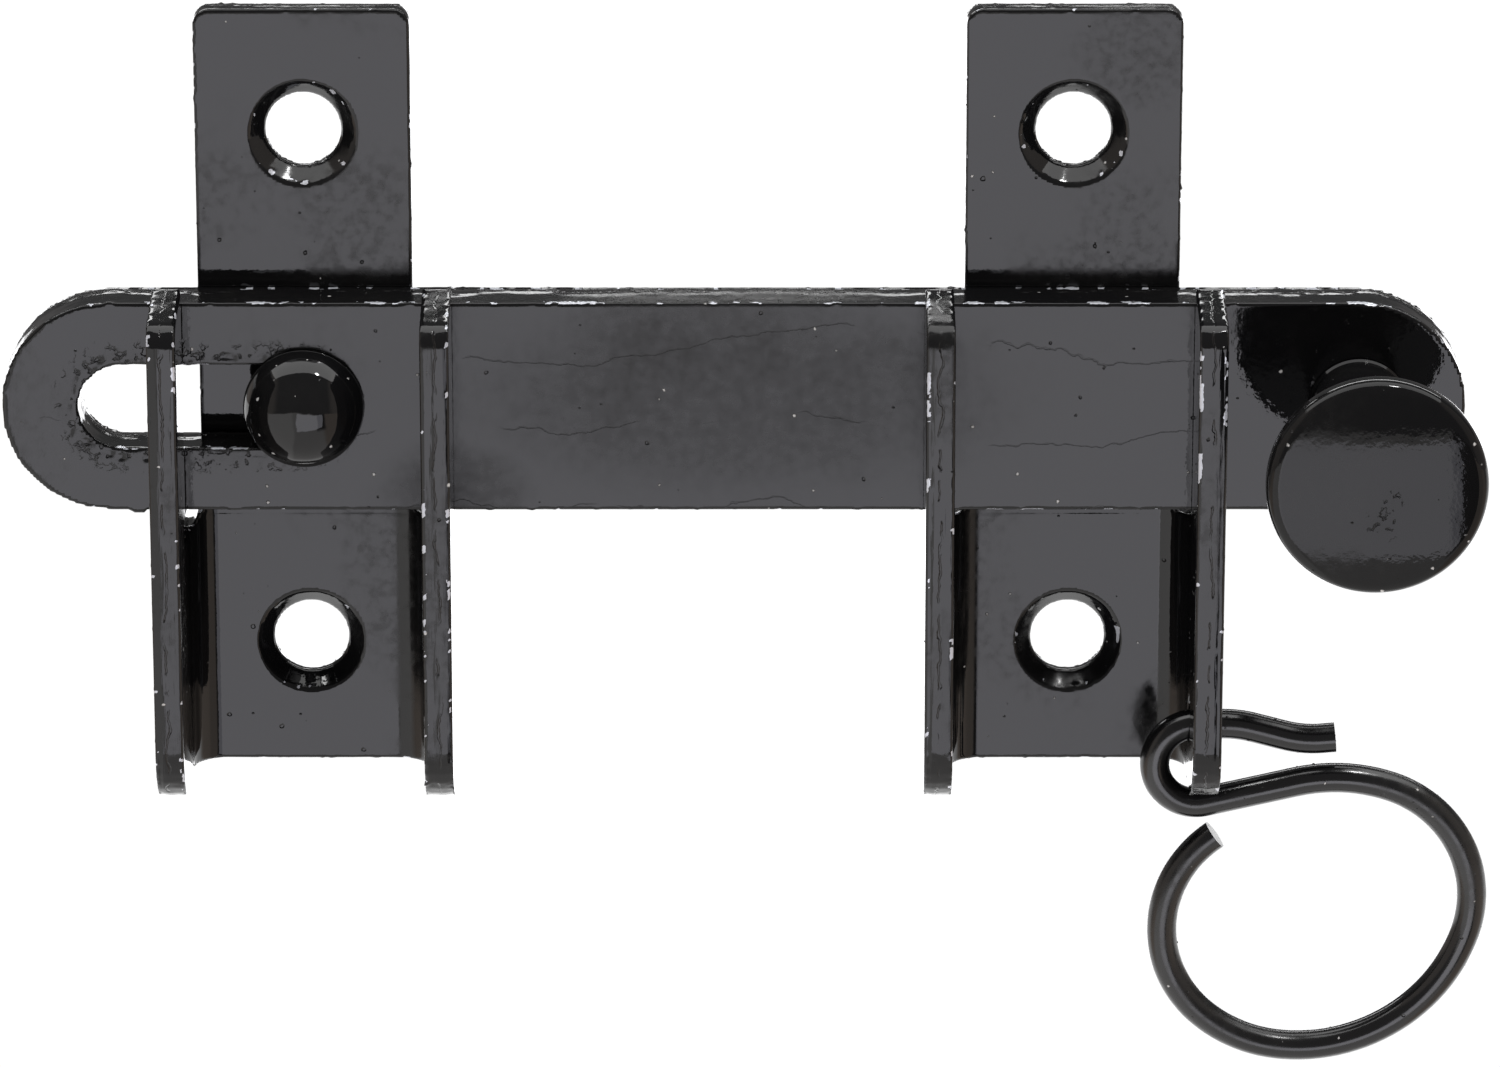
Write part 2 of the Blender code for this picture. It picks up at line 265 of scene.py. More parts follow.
def skin(name, node, grain, rounds, notches=()):
    """A CAD node's shape as one even, closed skin, with its edges softened by the enamel."""
    mesh = frame["nodes"][node].data.copy()
    mesh.materials.clear()
    work = bmesh.new()
    work.from_mesh(mesh)
    bmesh.ops.remove_doubles(work, verts=work.verts, dist=1e-6)
    work.to_mesh(mesh)
    work.free()
    source = bpy.data.objects.new(name + "_source", mesh)
    scene.collection.objects.link(source)
    plain = bpy.data.objects.new(name + "_plain", mesh)
    scene.collection.objects.link(plain)
    for i, outline in enumerate(notches):
        tool = prism(f"{name}_notch_{i}", outline, NOTCH_FRONT, NOTCH_BACK)
        for stock in (source, plain):
            nick = stock.modifiers.new("nick", "BOOLEAN")
            nick.operation = "DIFFERENCE"
            nick.solver = "EXACT"
            nick.object = tool
    coat = source.modifiers.new("coat", "REMESH")
    coat.mode = "VOXEL"
    coat.voxel_size = grain
    snug = source.modifiers.new("snug", "SHRINKWRAP")
    snug.target = plain
    soften = source.modifiers.new("soften", "SMOOTH")
    soften.factor = 0.5
    soften.iterations = rounds
    bpy.context.view_layer.update()
    final = source.evaluated_get(bpy.context.evaluated_depsgraph_get())
    made = bpy.data.meshes.new_from_object(final)
    bpy.data.objects.remove(source)
    bpy.data.objects.remove(plain)
    for i in range(len(notches)):
        bpy.data.objects.remove(bpy.data.objects[f"{name}_notch_{i}"])
    made.name = name
    made.shade_smooth()
    piece = bpy.data.objects.new(name, made)
    scene.collection.objects.link(piece)
    return piece


def read(mesh):
    """The places and normals of a mesh's vertices."""
    places = np.empty(len(mesh.vertices) * 3)
    mesh.vertices.foreach_get("co", places)
    normals = np.empty(len(mesh.vertices) * 3)
    mesh.vertex_normals.foreach_get("vector", normals)
    return places.reshape(-1, 3), normals.reshape(-1, 3)


def write(mesh, places, **marks):
    """Move a mesh's vertices, and keep a number for each of them under each name."""
    mesh.vertices.foreach_set("co", places.ravel())
    for name, values in marks.items():
        mesh.attributes.new(name, "FLOAT", "POINT").data.foreach_set("value", values.astype(np.float32))
    mesh.update()


def ease(values, start, end):
    """0 at start and 1 at end, smoothly, for each of an array's values."""
    share = np.clip((values - start) / (end - start), 0, 1)
    return share * share * (3 - 2 * share)


def sheared(piece, depth, inward, seed, worn_and_glints, level, line, drop, run):
    """Give a stamping its cut edges: a rolled and sheared part, then a torn part, deeper.

    depth is each vertex's share of the way through the sheet, and inward the direction of it.
    worn holds (place, size) of pale spots on the corners, partly chips where the enamel came off and partly
    painted glints. level is
    1 where the edges that face up were ground smooth, as on the arms. The tearing starts about
    line of the way through, and the surface falls by drop there, over run of the way.
    """
    places, normals = read(piece.data)
    across = 1 - (normals * inward).sum(axis=1) ** 2
    ground_off = ease(normals[:, 2], 0.5, 0.9) * (places[:, 2] < 0.0135) * level
    cut = ease(across, 0.55, 0.95) * (1 - 0.75 * ground_off)
    tear = line + 0.06 * ripple(places, 0.005, seed) + 0.035 * ripple(places, 0.0016, seed + 1)
    torn = np.clip((depth - tear) / run, 0, 1)
    rough = 0.000006 * ripple(places, 0.0011, seed + 2)
    roll = np.clip(1 - depth / (0.85 * tear), 0, 1) ** 2
    lift = cut * (torn * (rough - drop) - 0.00022 * roll + 0.000012 * ripple(places, 0.005, seed + 3))
    corner = ease(np.abs(depth - 0.5), 0.28, 0.44) * ease(across, 0.03, 0.4)
    beads = np.clip(ripple(places, 0.0011, seed + 4) - 0.75, 0, None)
    lift += corner * 0.00012 * beads
    wear_and_glint_spots = np.zeros(len(places))
    for spot, size in worn_and_glints:
        wear_and_glint_spots = np.maximum(wear_and_glint_spots, ease(np.linalg.norm(places - spot, axis=1), size, 0.6 * size))
    chance = ripple(places, 0.0012, seed + 5) + 0.5 * ripple(places, 0.0060, seed + 6)
    # Pale spots on the corners: partly chips in the enamel, and partly painted glints.
    chipped_and_glint = corner * ease(chance + 1.15 * wear_and_glint_spots, 1.02, 1.25)
    lift -= 0.00004 * chipped_and_glint
    marks = {"cut_edge": cut, "sheet_depth": depth, "tear_line": tear, "chipped_and_glint": chipped_and_glint}
    write(piece.data, places + normals * lift[:, None], **marks)


def sheet_depth(piece, centre):
    """How far each vertex of a folded bracket is through its sheet, from the outer side."""
    places, _ = read(piece.data)
    x, y, z = (places[:, 0] - centre) * 1000, places[:, 1] * 1000, places[:, 2] * 1000
    side = np.sign(x)
    flat = (np.abs(x) < FOLD_X) | ((z > -12.6) & (np.abs(x) < 11.9))
    ear = ~flat & (y < -FOLD_Y)
    radius = np.hypot(np.abs(x) - FOLD_X, y + FOLD_Y)
    depth = np.where(flat, -y, np.where(ear, EAR_OUTER - np.abs(x), FOLD_Y - radius)) / SHEET
    inward = np.zeros_like(places)
    bend = ~flat & ~ear
    inward[flat] = (0, -1, 0)
    inward[ear, 0] = -side[ear]
    inward[bend, 0] = -(np.abs(x) - FOLD_X)[bend] / radius[bend] * side[bend]
    inward[bend, 1] = -(y + FOLD_Y)[bend] / radius[bend]
    return np.clip(depth, 0, 1), inward


def group(name, inputs, outputs):
    """A shader node group with named sockets. Returns its tree and its two end nodes."""
    made = bpy.data.node_groups.new(name, "ShaderNodeTree")
    for label, kind, value in inputs:
        socket = made.interface.new_socket(label, in_out="INPUT", socket_type=kind)
        socket.default_value = value
    for label, kind in outputs:
        made.interface.new_socket(label, in_out="OUTPUT", socket_type=kind)
    return made, made.nodes.new("NodeGroupInput"), made.nodes.new("NodeGroupOutput")


def noise_at(tree, place, size, detail=0.0):
    """Noise from 0 to 1, whose bumps are about that size across."""
    return joined(tree, "ShaderNodeTexNoise", Vector=place, Scale=1 / size, Detail=detail).outputs["Fac"]


def centred_noise(tree, place, size, detail):
    """The same noise, about zero."""
    return reckon(tree, "SUBTRACT", noise_at(tree, place, size, detail), 0.5)


def shifted(tree, place, offset):
    """The same places, moved, so that one pattern doesn't repeat another."""
    made = tree.nodes.new("ShaderNodeVectorMath")
    tree.links.new(place, made.inputs[0])
    made.inputs[1].default_value = offset
    return made.outputs[0]


def stretched(tree, vector, scale, start):
    """A vector times a number, from another vector."""
    made = tree.nodes.new("ShaderNodeVectorMath")
    made.operation = "MULTIPLY_ADD"
    tree.links.new(vector, made.inputs[0])
    made.inputs[1].default_value = (scale, scale, scale)
    tree.links.new(start, made.inputs[2])
    return made.outputs[0]


def spots(tree, place, spacing, size, share):
    """Scattered small round spots: 1 in a spot and 0 elsewhere."""
    cells = joined(tree, "ShaderNodeTexVoronoi", Vector=place, Scale=1 / spacing)
    chance = joined(tree, "ShaderNodeSeparateXYZ", Vector=cells.outputs["Color"])
    big = reckon(tree, "MULTIPLY_ADD", chance.outputs[1], 0.6 * size / spacing, 0.25 * size / spacing)
    disc = reckon(tree, "DIVIDE", cells.outputs["Distance"], big)
    chosen = reckon(tree, "LESS_THAN", chance.outputs[0], share)
    return reckon(tree, "MULTIPLY", fade(tree, disc, 1.0, 0.45), chosen)


def coat_group():
    """The enamel's own surface: orange peel, pits, smudges, and nibs of dust under the skin, whose pale
    colour is partly dust and partly a painted glint.
    """
    made, start, end = group(
        "enamel_coat",
        [("Place", "NodeSocketVector", (0, 0, 0)), ("Seed", "NodeSocketVector", (0, 0, 0)),
         ("Peel", "NodeSocketFloat", 1.0), ("Pits", "NodeSocketFloat", 0.3),
         ("Nibs and glints", "NodeSocketFloat", 0.2), ("Smudges", "NodeSocketFloat", 0.3)],
        [("Colour", "NodeSocketColor"), ("Roughness", "NodeSocketFloat"), ("Height", "NodeSocketFloat")],
    )
    moved = joined(made, "ShaderNodeVectorMath")
    made.links.new(start.outputs["Place"], moved.inputs[0])
    made.links.new(start.outputs["Seed"], moved.inputs[1])
    place = moved.outputs[0]
    stray = joined(made, "ShaderNodeTexNoise", Vector=place, Scale=1 / 0.0005, Detail=1.0).outputs["Color"]
    ragged = stretched(made, stray, 0.0003, place)
    peel = reckon(made, "MULTIPLY", centred_noise(made, place, 0.0030, 1.0), 0.000013)
    fine = reckon(made, "MULTIPLY", centred_noise(made, place, 0.0007, 2.0), 0.0000085)
    skin_height = reckon(made, "MULTIPLY", reckon(made, "ADD", peel, fine), start.outputs["Peel"])
    pit = spots(made, ragged, 0.0028, 0.00034, start.outputs["Pits"])
    nib_dust_and_glint = spots(made, shifted(made, ragged, (0.31, 0.17, 0.23)), 0.0023, 0.00034, start.outputs["Nibs and glints"])
    risen = reckon(made, "MULTIPLY", nib_dust_and_glint, 0.00006)
    sunk = reckon(made, "MULTIPLY", pit, 0.00006)
    marks = reckon(made, "SUBTRACT", risen, sunk)
    made.links.new(reckon(made, "ADD", skin_height, marks), end.inputs["Height"])
    patch = fade(made, noise_at(made, shifted(made, place, (0.7, 0.2, 0.5)), 0.020, 4.0), 0.42, 0.62)
    mottle = fade(made, noise_at(made, shifted(made, place, (0.4, 0.6, 0.1)), 0.0011, 7.0), 0.36, 0.70)
    smudge = reckon(made, "MULTIPLY", patch, reckon(made, "MULTIPLY_ADD", mottle, 0.60, 0.40))
    smudged = reckon(made, "MULTIPLY", smudge, start.outputs["Smudges"])
    rough = reckon(made, "MULTIPLY_ADD", smudged, 0.34, 0.035)
    grit = reckon(made, "MULTIPLY", centred_noise(made, place, 0.0004, 2.0), 0.03)
    made.links.new(reckon(made, "ADD", rough, grit), end.inputs["Roughness"])
    tone = blended(made, smudge, (0.0058, 0.0058, 0.0064, 1), (0.010, 0.0098, 0.0098, 1))
    # Pale specks at the nibs: partly dust, and partly painted glints on their tops.
    tone = blended(made, nib_dust_and_glint, tone, (0.75, 0.74, 0.72, 1))
    made.links.new(tone, end.inputs["Colour"])
    return made


def cut_group():
    """A stamping's cut edge under the enamel: streaks, and a crack where the tearing starts.

    Chip is 1 at pale spots on the corners: partly where the enamel is gone and the bare steel shows, and
    partly painted glints.
    """
    made, start, end = group(
        "stamped_edge",
        [("Place", "NodeSocketVector", (0, 0, 0)), ("Cut", "NodeSocketFloat", 0.0),
         ("Depth", "NodeSocketFloat", 0.5), ("Tear", "NodeSocketFloat", 0.5),
         ("Chips and glints", "NodeSocketFloat", 0.0), ("Streaks", "NodeSocketFloat", 1.0)],
        [("Chip and glint", "NodeSocketFloat"), ("Roughness", "NodeSocketFloat"), ("Height", "NodeSocketFloat")],
    )
    place, cut = start.outputs["Place"], start.outputs["Cut"]
    wander = centred_noise(made, place, 0.0009, 2.0)
    line = reckon(made, "ADD", start.outputs["Tear"], reckon(made, "MULTIPLY", wander, 0.20))
    off = reckon(made, "SUBTRACT", start.outputs["Depth"], line)
    crack = fade(made, reckon(made, "ABSOLUTE", off), 0.05, 0.01)
    torn = fade(made, off, 0.0, 0.1)
    grain = centred_noise(made, place, 0.0008, 3.0)
    broken = fade(made, noise_at(made, place, 0.0035, 1.0), 0.40, 0.52)
    through = reckon(made, "MULTIPLY", start.outputs["Depth"], 0.0032)
    through = joined(made, "ShaderNodeCombineXYZ", X=through).outputs[0]
    streak = centred_noise(made, stretched(made, place, 0.08, through), 0.0005, 2.0)
    height = reckon(made, "MULTIPLY", reckon(made, "MULTIPLY", crack, broken), -0.00006)
    grain = reckon(made, "MULTIPLY", reckon(made, "MULTIPLY", grain, torn), 0.00001)
    height = reckon(made, "ADD", height, grain)
    streak = reckon(made, "MULTIPLY", reckon(made, "MULTIPLY", streak, start.outputs["Streaks"]), 0.00016)
    height = reckon(made, "MULTIPLY", reckon(made, "ADD", height, streak), cut)
    fray = reckon(made, "MULTIPLY", centred_noise(made, place, 0.0004, 2.0), 0.9)
    chip_and_glint = fade(made, reckon(made, "ADD", start.outputs["Chips and glints"], fray), 0.42, 0.52)
    made.links.new(chip_and_glint, end.inputs["Chip and glint"])
    sunk = reckon(made, "MULTIPLY", chip_and_glint, -0.00003)
    made.links.new(reckon(made, "ADD", height, sunk), end.inputs["Height"])
    dulled = reckon(made, "MULTIPLY_ADD", torn, 0.02, 0.01)
    made.links.new(reckon(made, "MULTIPLY", cut, dulled), end.inputs["Roughness"])
    return made


ENAMEL_COAT = coat_group()
STAMPED_EDGE = cut_group()


def enamel(name, seed, peel, pits, nibs, smudges):
    """Glossy black enamel with its own pattern. More height and roughness can be added to it."""
    made = bpy.data.materials.new(name)
    made.use_nodes = True
    tree = made.node_tree
    shader = tree.nodes["Principled BSDF"]
    place = tree.nodes.new("ShaderNodeTexCoord").outputs["Object"]
    coat = tree.nodes.new("ShaderNodeGroup")
    coat.node_tree = ENAMEL_COAT
    tree.links.new(place, coat.inputs["Place"])
    coat.inputs["Seed"].default_value = (0.1 * seed, 0.07 * seed, 0.03 * seed)
    coat.inputs["Peel"].default_value = peel
    coat.inputs["Pits"].default_value = pits
    # This share also sets the pale specks, partly dust and partly painted glints.
    coat.inputs["Nibs and glints"].default_value = nibs
    coat.inputs["Smudges"].default_value = smudges
    tree.links.new(coat.outputs["Colour"], shader.inputs["Base Color"])
    shader.inputs["IOR"].default_value = 1.5
    return made, place, coat.outputs["Roughness"], coat.outputs["Height"]


def finish_enamel(made, roughness, height):
    """Lead the enamel's final roughness and height into its shader."""
    tree = made.node_tree
    shader = tree.nodes["Principled BSDF"]
    tree.links.new(roughness, shader.inputs["Roughness"])
    bump = joined(tree, "ShaderNodeBump", Strength=1.0, Distance=1.0, Height=height)
    tree.links.new(bump.outputs[0], shader.inputs["Normal"])


def add_cut_edges(made, place, roughness, height, streaks):
    """Add a stamping's cut edges to its enamel, with pale spots on the corners that are partly bare steel
    where the enamel came off and partly painted glints.
    """
    tree = made.node_tree
    shader = tree.nodes["Principled BSDF"]
    edge = tree.nodes.new("ShaderNodeGroup")
    edge.node_tree = STAMPED_EDGE
    edge.inputs["Streaks"].default_value = streaks
    tree.links.new(place, edge.inputs["Place"])
    marks = (("cut_edge", "Cut"), ("sheet_depth", "Depth"), ("tear_line", "Tear"), ("chipped_and_glint", "Chips and glints"))
    for mark, label in marks:
        source = tree.nodes.new("ShaderNodeAttribute")
        source.attribute_name = mark
        tree.links.new(source.outputs["Fac"], edge.inputs[label])
    enamel_tone = shader.inputs["Base Color"].links[0].from_socket
    # Pale steel grey at the spots: bare steel where the enamel came off, and painted glints on the edges.
    tone = blended(tree, edge.outputs["Chip and glint"], enamel_tone, (0.74, 0.76, 0.82, 1))
    tree.links.new(tone, shader.inputs["Base Color"])
    tree.links.new(reckon(tree, "MULTIPLY", edge.outputs["Chip and glint"], 0.3), shader.inputs["Metallic"])
    roughness = reckon(tree, "ADD", roughness, edge.outputs["Roughness"])
    roughness = reckon(tree, "MULTIPLY_ADD", edge.outputs["Chip and glint"], 0.16, roughness)
    height = reckon(tree, "ADD", height, edge.outputs["Height"])
    return roughness, height


def creased(piece, centre):
    """The lower plate's shallow crease, where the sheet kinked as the ears were folded."""
    places, normals = read(piece.data)
    x, z = (places[:, 0] - centre) * 1000, places[:, 2] * 1000
    front = ease(-normals[:, 1], 0.6, 0.9) * ease(np.abs(x), 11.4, 10.6) * (places[:, 1] < -0.0015)
    wander = 0.06 * ripple(places, 0.006, 71)
    groove = -0.05 * np.exp(-((z + 13.50 + wander) / 0.20) ** 2)
    ridge = 0.025 * np.exp(-((z + 13.95 + wander) / 0.22) ** 2)
    write(piece.data, places + normals * (front * (groove + ridge) * 0.001)[:, None])


# Pale spots from each bracket's centre: X, Y, Z and size. They are partly chips where the enamel came off
# and partly painted glints on the ears' edges.
WORN_AND_GLINTS = {
    "left": (
        (0.0140, -0.0200, -0.0080, 0.0020), (0.0132, -0.0200, -0.0115, 0.0016),
        (0.0140, -0.0200, -0.0175, 0.0018), (-0.0150, -0.0200, -0.0300, 0.0022),
        (0.0113, -0.0030, 0.0150, 0.0015), (-0.0113, -0.0030, 0.0330, 0.0020),
        (0.0125, -0.0200, -0.0385, 0.0020), (-0.0125, -0.0200, 0.0060, 0.0018),
        (-0.0113, -0.0030, -0.0125, 0.0015),
    ),
    "right": (
        (0.0156, -0.0200, 0.0050, 0.0050), (-0.0155, -0.0200, 0.0040, 0.0036),
        (-0.0125, -0.0200, -0.0100, 0.0022), (0.0125, -0.0200, -0.0030, 0.0016),
        (-0.0125, -0.0200, -0.0230, 0.0020), (0.0156, -0.0200, -0.0210, 0.0014),
        (-0.0140, -0.0200, -0.0400, 0.0022), (0.0113, -0.0030, 0.0250, 0.0020),
        (0.0120, -0.0200, 0.0090, 0.0014),
    ),
}

# The left bracket's relief slits are torn a little past their ends: X, Z from its centre.
NOTCHES = {
    "left": (
        ((-0.0128, -0.0120), (-0.0116, -0.0120), (-0.0118, -0.0137), (-0.0124, -0.0149), (-0.0127, -0.0164)),
        ((0.0117, -0.0120), (0.0128, -0.0120), (0.0127, -0.0139), (0.0120, -0.0138)),
    ),
    "right": (),
}

for side_name, node, seed in BRACKETS:
    low_corner, high_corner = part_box(node)
    centre = (low_corner.x + high_corner.x) / 2
    nicks = [[(centre + x, z) for x, z in outline] for outline in NOTCHES[side_name]]
    stamping = skin(side_name + "_bracket_stamping", node, 0.00030, 3, nicks)
    depth, inward = sheet_depth(stamping, centre)
    worn_and_glints = [((centre + x, y, z), size) for x, y, z, size in WORN_AND_GLINTS[side_name]]
    sheared(stamping, depth, inward, 10 * seed, worn_and_glints, 1, 0.47, 0.00005, 0.14)
    creased(stamping, centre)
    paint, place, roughness, height = enamel(side_name + "_bracket_enamel", seed, 0.8, 0.35, 0.30, 0.75)
    roughness, height = add_cut_edges(paint, place, roughness, height, 0.25)
    finish_enamel(paint, roughness, height)
    stamping.data.materials.append(paint)
    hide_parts(node)
    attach(stamping, "brackets")


# ---------------------------------------------------------------- stop rivet
# A domed steel rivet that stands in the bar's slot and stops its travel. Its tail is hammered
# flush in the back of the left strap.

DOME_HEIGHT = 0.0050
RIVET_SLIM = 0.0040             # the shank's radius
TAIL_RADIUS = 0.0053            # radius of a riveted tail's end
TAIL_FLARE = 0.0015             # how far from its end the tail starts to flare


def eased(corners, steps=6, spacing=0.0004):
    """A profile from (radius, height, rounding) corners, rounded and with closely set points."""
    points = [Vector(corners[0][:2])]
    for before, corner, after in zip(corners, corners[1:], corners[2:]):
        spot, rounding = Vector(corner[:2]), corner[2]
        if rounding:
            first = spot + (Vector(before[:2]) - spot).normalized() * rounding
            last = spot + (Vector(after[:2]) - spot).normalized() * rounding
            for i in range(steps + 1):
                t = i / steps
                points.append(first * (1 - t) ** 2 + spot * 2 * t * (1 - t) + last * t ** 2)
        else:
            points.append(spot)
    points.append(Vector(corners[-1][:2]))
    close = [points[0]]
    for point in points[1:]:
        gaps = max(1, math.ceil((point - close[-1]).length / spacing))
        first = close[-1]
        close += [first.lerp(point, i / gaps) for i in range(1, gaps + 1)]
    return close


def lathed(name, profile, centre, steps):
    """A solid turned about an axis along Y, closed where its profile meets the axis."""
    places, faces, rings = [], [], []
    for radius, reach in profile:
        start = len(places)
        turns = 1 if radius < 1e-7 else steps
        for i in range(turns):
            angle = 2 * math.pi * i / steps
            places.append((centre.x + radius * math.cos(angle), -reach, centre.z + radius * math.sin(angle)))
        rings.append((start, turns))
    for (first, n), (second, m) in zip(rings, rings[1:]):
        for i in range(steps):
            j = (i + 1) % steps
            near = [first + j, first + i] if n > 1 else [first]
            far = [second + i, second + j] if m > 1 else [second]
            if len(near) + len(far) > 2:
                faces.append(near + far)
    mesh = bpy.data.meshes.new(name)
    mesh.from_pydata(places, [], faces)
    work = bmesh.new()
    work.from_mesh(mesh)
    bmesh.ops.recalc_face_normals(work, faces=work.faces)
    work.to_mesh(mesh)
    work.free()
    mesh.shade_smooth()
    piece = bpy.data.objects.new(name, mesh)
    scene.collection.objects.link(piece)
    return piece


low_corner, high_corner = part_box("stop_rivet")
rivet_centre = (low_corner + high_corner) / 2
rivet_top, rivet_end = -low_corner.y, -high_corner.y
rivet_head = (high_corner.x - low_corner.x) / 2
dome_under = rivet_top - DOME_HEIGHT
profile = []
for i in range(33):
    radius = rivet_head * math.sin(math.pi / 2 * i / 32)
    profile.append((radius, dome_under + DOME_HEIGHT * (1 - (radius / rivet_head) ** 2.2) ** 0.5, 0))
profile[-1] = (rivet_head, dome_under, 0.0003)
profile += [
    (RIVET_SLIM, dome_under, 0.0002), (RIVET_SLIM, rivet_end + TAIL_FLARE, 0.0002),
    (TAIL_RADIUS, rivet_end, 0.0002), (0, rivet_end, 0),
]
rivet = lathed("stop_rivet_dome", eased(profile), rivet_centre, 144)
places, normals = read(rivet.data)
lift = 0.000012 * ripple(places, 0.004, 31) + 0.000003 * ripple(places, 0.0014, 32)
tail = ease(-places[:, 1], 0.0012, 0.0004)
lift += tail * (0.00002 * ripple(places, 0.0030, 33) - 0.00006)
write(rivet.data, places + normals * lift[:, None])
paint, place, roughness, height = enamel("stop_rivet_enamel", 3, 0.45, 0.30, 0.90, 0.2)
finish_enamel(paint, roughness, height)
rivet.data.materials.append(paint)
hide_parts("stop_rivet")
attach(rivet, "brackets")


# ---------------------------------------------------------------- bolt bar
# A bar stamped from 6 mm flat steel with half-round ends and a stop slot. It slides between the
# ears and the straps, so the enamel is scuffed round the slot and scratched along its length.

BAR_FRONT = -0.0093             # Y of the bar's front
BAR_THICKNESS = 0.006
SLOT_LEFT, SLOT_RIGHT, SLOT_HALF = -0.099, -0.080, 0.0044
# Pale spots on the bar, (place, size): wear round the slot and at the ends, and a row along the top front
# edge that is a painted highlight.
BAR_WEAR_AND_GLINTS = [((x, BAR_FRONT, 0.01125), 0.0046) for x in (-0.083, -0.071, -0.052, -0.009, 0.005)]
BAR_WEAR_AND_GLINTS += [
    ((0.0300, BAR_FRONT, 0.0112), 0.0050), ((-0.1035, BAR_FRONT, 0.0), 0.0030),
    ((-0.0960, BAR_FRONT, -0.0044), 0.0060), ((-0.0880, BAR_FRONT, -0.0044), 0.0030),
    ((-0.0900, BAR_FRONT, 0.0044), 0.0040), ((-0.0060, BAR_FRONT, -0.0112), 0.0030),
]
# A run of enamel hangs from the bar's lower edge.
RUN_X, RUN_LENGTH, RUN_DROP = -0.0974, 0.0018, 0.00035


def rub_group():
    """Marks of use: scuffs and dents where a piece is rubbed, and hairline scratches along X."""
    made, start, end = group(
        "rub_marks",
        [("Place", "NodeSocketVector", (0, 0, 0)), ("Rubbed", "NodeSocketFloat", 0.0),
         ("Scratches", "NodeSocketFloat", 0.5)],
        [("Roughness", "NodeSocketFloat"), ("Height", "NodeSocketFloat")],
    )
    place = start.outputs["Place"]
    dents = fade(made, noise_at(made, place, 0.0009, 4.0), 0.54, 0.66)
    dents = reckon(made, "MULTIPLY", dents, start.outputs["Rubbed"])
    level = joined(made, "ShaderNodeSeparateXYZ", Vector=place).outputs[2]
    level = reckon(made, "MULTIPLY_ADD", noise_at(made, place, 0.022, 1.0), 0.0120, level)
    level = reckon(made, "MULTIPLY_ADD", noise_at(made, place, 0.0022, 4.0), 0.0018, level)
    across = reckon(made, "SUBTRACT", reckon(made, "FRACT", reckon(made, "DIVIDE", level, 0.0090)), 0.5)
    hair = fade(made, reckon(made, "ABSOLUTE", across), 0.0085, 0.002)
    region = fade(made, noise_at(made, shifted(made, place, (0.2, 0.9, 0.4)), 0.015, 1.0), 0.47, 0.56)
    hair = reckon(made, "MULTIPLY", reckon(made, "MULTIPLY", hair, region), start.outputs["Scratches"])
    dents = reckon(made, "MULTIPLY", dents, 0.00005)
    depth = reckon(made, "ADD", dents, reckon(made, "MULTIPLY", hair, 0.000014))
    made.links.new(reckon(made, "MULTIPLY", depth, -1.0), end.inputs["Height"])
    made.links.new(reckon(made, "MULTIPLY", start.outputs["Rubbed"], 0.10), end.inputs["Roughness"])
    return made


RUB_MARKS = rub_group()


def add_rub_marks(made, place, roughness, height, scratches):
    """Add the marks of use to a piece's enamel, scuffed where its mesh says that it is rubbed."""
    tree = made.node_tree
    rub = tree.nodes.new("ShaderNodeGroup")
    rub.node_tree = RUB_MARKS
    rub.inputs["Scratches"].default_value = scratches
    tree.links.new(place, rub.inputs["Place"])
    source = tree.nodes.new("ShaderNodeAttribute")
    source.attribute_name = "rubbed"
    tree.links.new(source.outputs["Fac"], rub.inputs["Rubbed"])
    roughness = reckon(tree, "ADD", roughness, rub.outputs["Roughness"])
    height = reckon(tree, "ADD", height, rub.outputs["Height"])
    return roughness, height


blade = skin("bolt_bar_blade", "bolt_bar", 0.00033, 3)
low_corner, high_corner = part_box("bolt_bar")
places, normals = read(blade.data)
depth = np.clip((-places[:, 1] + high_corner.y) / BAR_THICKNESS, 0, 1)
inward = np.zeros_like(places)
inward[:, 1] = -1
sheared(blade, depth, inward, 40, BAR_WEAR_AND_GLINTS, 0, 0.31, 0.000105, 0.16)
places, normals = read(blade.data)
x, y, z = places[:, 0], places[:, 1], places[:, 2]
from_slot = np.hypot(x - np.clip(x, SLOT_LEFT, SLOT_RIGHT), z) - SLOT_HALF
rubbed = ease(from_slot, 0.0034, 0.0008) * ease(-normals[:, 1], 0.5, 0.8) * ease(x, -0.070, -0.084)
dents = np.clip(ripple(places, 0.0012, 47) - 0.35, 0, None)
lift = -0.00009 * rubbed * dents
ridges = np.sin(depth * 15 + 0.9 * ripple(places, 0.012, 48)) * 0.000008
lift += ridges * ease(np.abs(normals[:, 2]), 0.6, 0.9) * ease(np.abs(z), 0.0095, 0.0105)
run = ease(np.abs(x - RUN_X), RUN_LENGTH / 2, RUN_LENGTH / 2 - 0.0003) * ease(-z, 0.0100, 0.0112)
places = places + normals * lift[:, None]
places[:, 2] -= RUN_DROP * run
handled = np.exp(-(((x + 0.036) / 0.030) ** 2 + ((z - 0.001) / 0.012) ** 2) ** 2)
handled = np.maximum(handled, np.exp(-(((x + 0.064) / 0.009) ** 2 + ((z + 0.009) / 0.006) ** 2) ** 2))
write(blade.data, places, rubbed=rubbed, handled=handled)
paint, place, roughness, height = enamel("bolt_bar_enamel", 4, 1.2, 0.40, 0.30, 0.40)
roughness, height = add_cut_edges(paint, place, roughness, height, 0.04)
roughness, height = add_rub_marks(paint, place, roughness, height, 1.0)
source = paint.node_tree.nodes.new("ShaderNodeAttribute")
source.attribute_name = "handled"
grease = reckon(paint.node_tree, "MULTIPLY_ADD", noise_at(paint.node_tree, place, 0.0012, 6.0), 0.22, 0.15)
